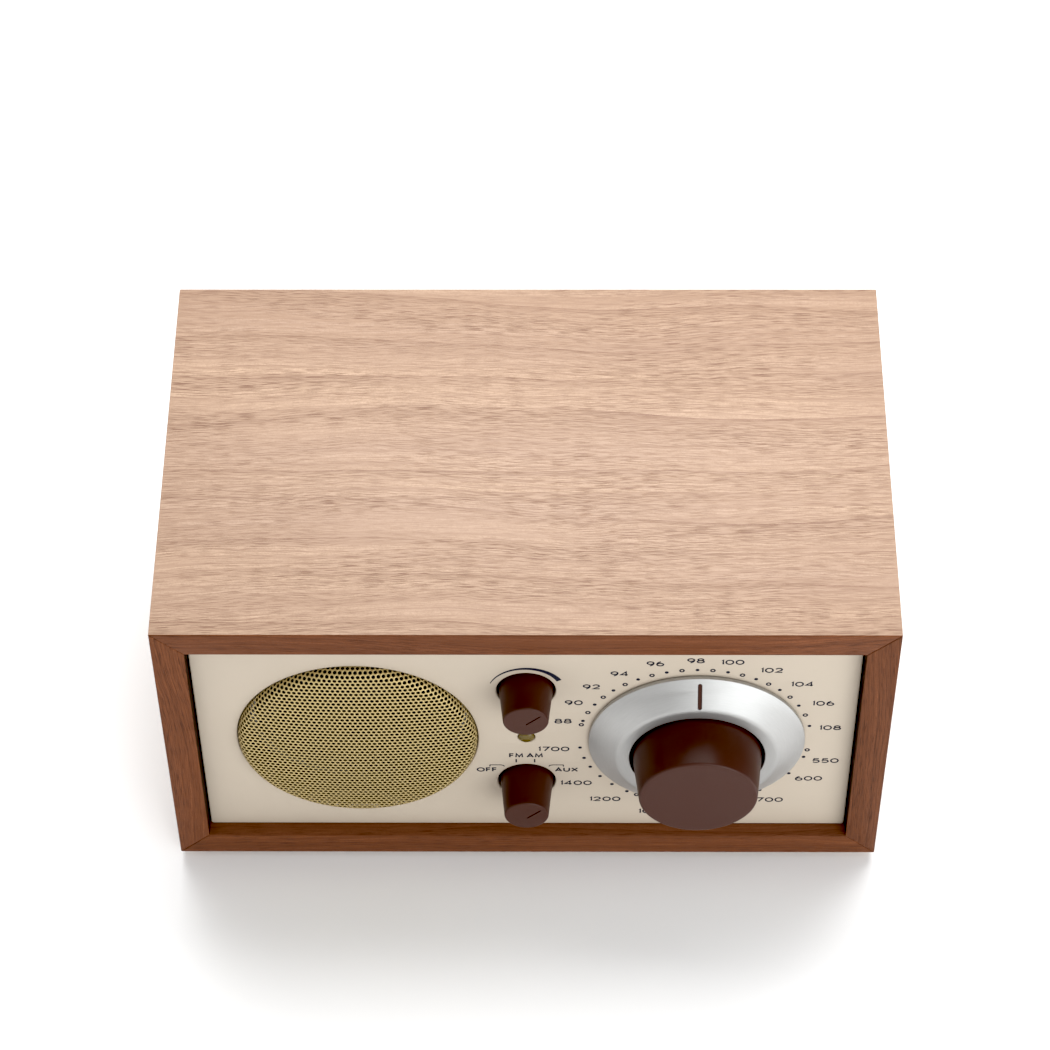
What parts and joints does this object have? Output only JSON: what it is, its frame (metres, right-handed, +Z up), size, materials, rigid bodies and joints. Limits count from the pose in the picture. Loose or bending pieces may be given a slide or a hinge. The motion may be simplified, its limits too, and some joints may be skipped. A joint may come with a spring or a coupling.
{
  "type": "tabletop radio",
  "caption": "Wooden tabletop radio with a domed speaker grille, small volume and selector knobs, and a large geared tuning knob inside a silver dial ring.",
  "frame": {"origin": "centre of the whole radio's bounding box, at the bottom of the rubber feet", "axes": "+Z up, -Y towards the listener (front panel), +X to the listener's right"},
  "size_m": [0.2126, 0.1492, 0.1143],
  "materials": {
    "walnut": "satin",
    "cream_panel": "matte",
    "fibreboard": "matte",
    "gold_mesh": "satin",
    "knob_brown": "satin",
    "brushed_silver": "brushed",
    "plain_steel": "satin",
    "screw_steel": "satin",
    "black_plastic": "matte",
    "black_rubber": "matte",
    "cone_paper": "matte",
    "ferrite": "matte",
    "copper_wire": "satin",
    "brass_metal": "satin",
    "circuit_board": "satin",
    "amber_lens": "gloss"
  },
  "bodies": {
    "cabinet": {"cabinet_top": "walnut", "cabinet_bottom": "walnut", "cabinet_left": "walnut", "cabinet_right": "walnut", "front_panel": "cream_panel", "baffle_board": "fibreboard", "speaker_grille": "gold_mesh", "amplifier_heat_sink": "brushed_silver", "speaker_basket": "plain_steel", "control_bracket": "plain_steel", "volume_potentiometer": "plain_steel", "volume_nut": "plain_steel", "selector_nut": "plain_steel", "tuning_capacitor_frame": "plain_steel", "tuning_capacitor_stator": "plain_steel", "transformer_core": "plain_steel", "antenna_switch_body": "plain_steel", "rear_screw_1": "screw_steel", "rear_screw_2": "screw_steel", "rear_screw_3": "screw_steel", "rear_screw_4": "screw_steel", "bass_port_tube": "black_plastic", "selector_switch": "black_plastic", "rear_panel": "black_plastic", "ac_inlet": "black_plastic", "dc_power_jack": "black_plastic", "headphone_jack": "black_plastic", "aux_input_jack": "black_plastic", "foot_front_left": "black_rubber", "foot_front_right": "black_rubber", "foot_rear_left": "black_rubber", "foot_rear_right": "black_rubber", "speaker_surround": "black_rubber", "speaker_magnet": "ferrite", "ferrite_antenna_rod": "ferrite", "transformer_winding": "copper_wire", "antenna_coil": "copper_wire", "tuning_drive_housing": "brass_metal", "fm_antenna_socket": "brass_metal", "ac_inlet_pin_left": "brass_metal", "ac_inlet_pin_right": "brass_metal", "tuner_board": "circuit_board", "main_board": "circuit_board", "indicator_lamp_lens": "amber_lens"},
    "volume_control": {"volume_knob": "knob_brown", "volume_shaft": "plain_steel"},
    "selector_control": {"selector_knob": "knob_brown", "selector_shaft": "plain_steel"},
    "tuning_control": {"tuning_knob": "knob_brown", "tuning_shaft": "plain_steel"},
    "dial": {"dial_ring": "brushed_silver", "dial_pointer_fm": "knob_brown", "dial_pointer_am": "knob_brown", "dial_hub": "black_plastic", "drive_ball_cage": "brass_metal", "tuning_capacitor_rotor": "plain_steel"},
    "cone": {"speaker_cone": "cone_paper", "voice_coil": "copper_wire"},
    "antenna_slider": {"antenna_switch_slider": "black_plastic"},
    "button": {"pairing_button": "black_plastic"}
  },
  "joints": [
    {"name": "volume_turn", "type": "hinge", "parent": "cabinet", "child": "volume_control", "pos_m": [0, -0.05745, 0.0818], "axis": [0, 1, 0], "range_deg": [-195, 105]},
    {"name": "selector_turn", "type": "hinge", "parent": "cabinet", "child": "selector_control", "pos_m": [0, -0.05745, 0.0357], "axis": [0, 1, 0], "range_deg": [-90, 0]},
    {"name": "tuning_turn", "type": "hinge", "parent": "cabinet", "child": "tuning_control", "pos_m": [0.0502, -0.05745, 0.0579], "axis": [0, 1, 0], "range_deg": [-390, 390]},
    {"name": "dial_turn", "type": "hinge", "parent": "cabinet", "child": "dial", "pos_m": [0.0502, -0.05745, 0.0579], "axis": [0, 1, 0], "range_deg": [-78, 78]},
    {"name": "cone_travel", "type": "slide", "parent": "cabinet", "child": "cone", "axis": [0, 1, 0], "range_m": [-0.001, 0.001], "stiffness_N_per_m": 1200},
    {"name": "antenna_switch_slide", "type": "slide", "parent": "cabinet", "child": "antenna_slider", "axis": [1, 0, 0], "range_m": [0, 0.0055]},
    {"name": "pairing_press", "type": "slide", "parent": "cabinet", "child": "button", "axis": [0, -1, 0], "range_m": [0, 0.001], "stiffness_N_per_m": 400}
  ],
  "couplings": [
    {"joint": "dial_turn", "follows": "tuning_turn", "ratio": 0.2}
  ]
}
